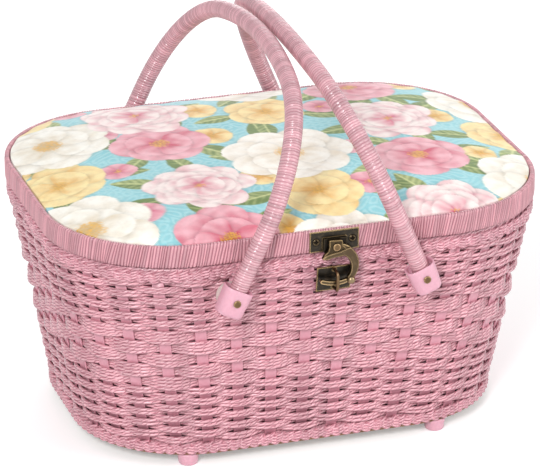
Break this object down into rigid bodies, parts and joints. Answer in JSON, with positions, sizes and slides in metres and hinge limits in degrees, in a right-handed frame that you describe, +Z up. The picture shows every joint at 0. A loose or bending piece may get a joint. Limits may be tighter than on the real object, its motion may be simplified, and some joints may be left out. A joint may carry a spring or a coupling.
{
  "type": "sewing box",
  "caption": "Woven sewing box with rounded tapering walls, a padded fabric lid on rear hinges, a swing-hook clasp and a pair of folding bow handles.",
  "frame": {"origin": "on the floor under the middle of the box", "axes": "+Z up, +X along the length to the right as seen from the clasp side, -Y towards the clasp"},
  "size_m": [0.3244, 0.28, 0.2558],
  "materials": {
    "base_board": "plain board",
    "lid_board": "plain board",
    "border_cord": "plaited paper cord",
    "weave_cord": "twisted paper cord",
    "rim_cord": "wound paper yarn",
    "bow_cord": "wound paper yarn",
    "lining_cloth": "plain woven lining",
    "lid_cloth": "printed cotton over foam",
    "stake_plastic": "satin strip",
    "foot_plastic": "satin moulding",
    "socket_plastic": "satin moulding",
    "washer_plastic": "translucent white",
    "bow_core": "wire rod",
    "antique_brass": "antiqued",
    "screw_brass": "antiqued"
  },
  "bodies": {
    "basket": {"base_board": "base_board", "foot_border": "border_cord", "lining_floor": "lining_cloth", "feet": "foot_plastic", "foot_screws": "screw_brass", "pivot_rivets": "antique_brass", "spacer_washers": "washer_plastic", "backing_washers": "antique_brass", "catch_staple": "antique_brass", "catch_plate": "antique_brass", "lining_wall": "lining_cloth", "stakes": "stake_plastic", "lower_weave": "weave_cord", "middle_weave": "weave_cord", "upper_weave": "weave_cord", "basket_hinge_leaves": "antique_brass", "hinge_pins": "antique_brass", "basket_hinge_screws": "screw_brass", "top_border": "border_cord"},
    "lid": {"lid_hinge_leaves": "antique_brass", "lid_hinge_screws": "screw_brass", "clasp_plate": "antique_brass", "clasp_screws": "screw_brass", "hook_rivet": "antique_brass", "lid_rim": "rim_cord", "lid_board": "lid_board", "lid_lining": "lining_cloth", "lid_pad": "lid_cloth"},
    "hook": {"hook": "antique_brass"},
    "left_handle": {"left_bow_core": "bow_core", "left_bow_winding": "bow_cord", "left_sockets": "socket_plastic"},
    "right_handle": {"right_bow_core": "bow_core", "right_bow_winding": "bow_cord", "right_sockets": "socket_plastic"}
  },
  "joints": [
    {"name": "lid_hinge", "type": "hinge", "parent": "basket", "child": "lid", "pos_m": [0, 0.1258, 0.1454], "axis": [-1, 0, 0], "range_deg": [0, 8]},
    {"name": "hook_swing", "type": "hinge", "parent": "lid", "child": "hook", "pos_m": [0.0024, -0.1263, 0.1501], "axis": [0, -1, 0], "range_deg": [0, 168]},
    {"name": "left_handle_swing", "type": "hinge", "parent": "basket", "child": "left_handle", "pos_m": [-0.06478, 0, 0.1257], "axis": [0, -1, 0], "range_deg": [0, 160]},
    {"name": "right_handle_swing", "type": "hinge", "parent": "basket", "child": "right_handle", "pos_m": [0.05748, 0, 0.1257], "axis": [0, 1, 0], "range_deg": [0, 154]}
  ],
  "couplings": [
    {"joint": "hook_swing", "follows": "lid_hinge", "ratio": 21}
  ]
}
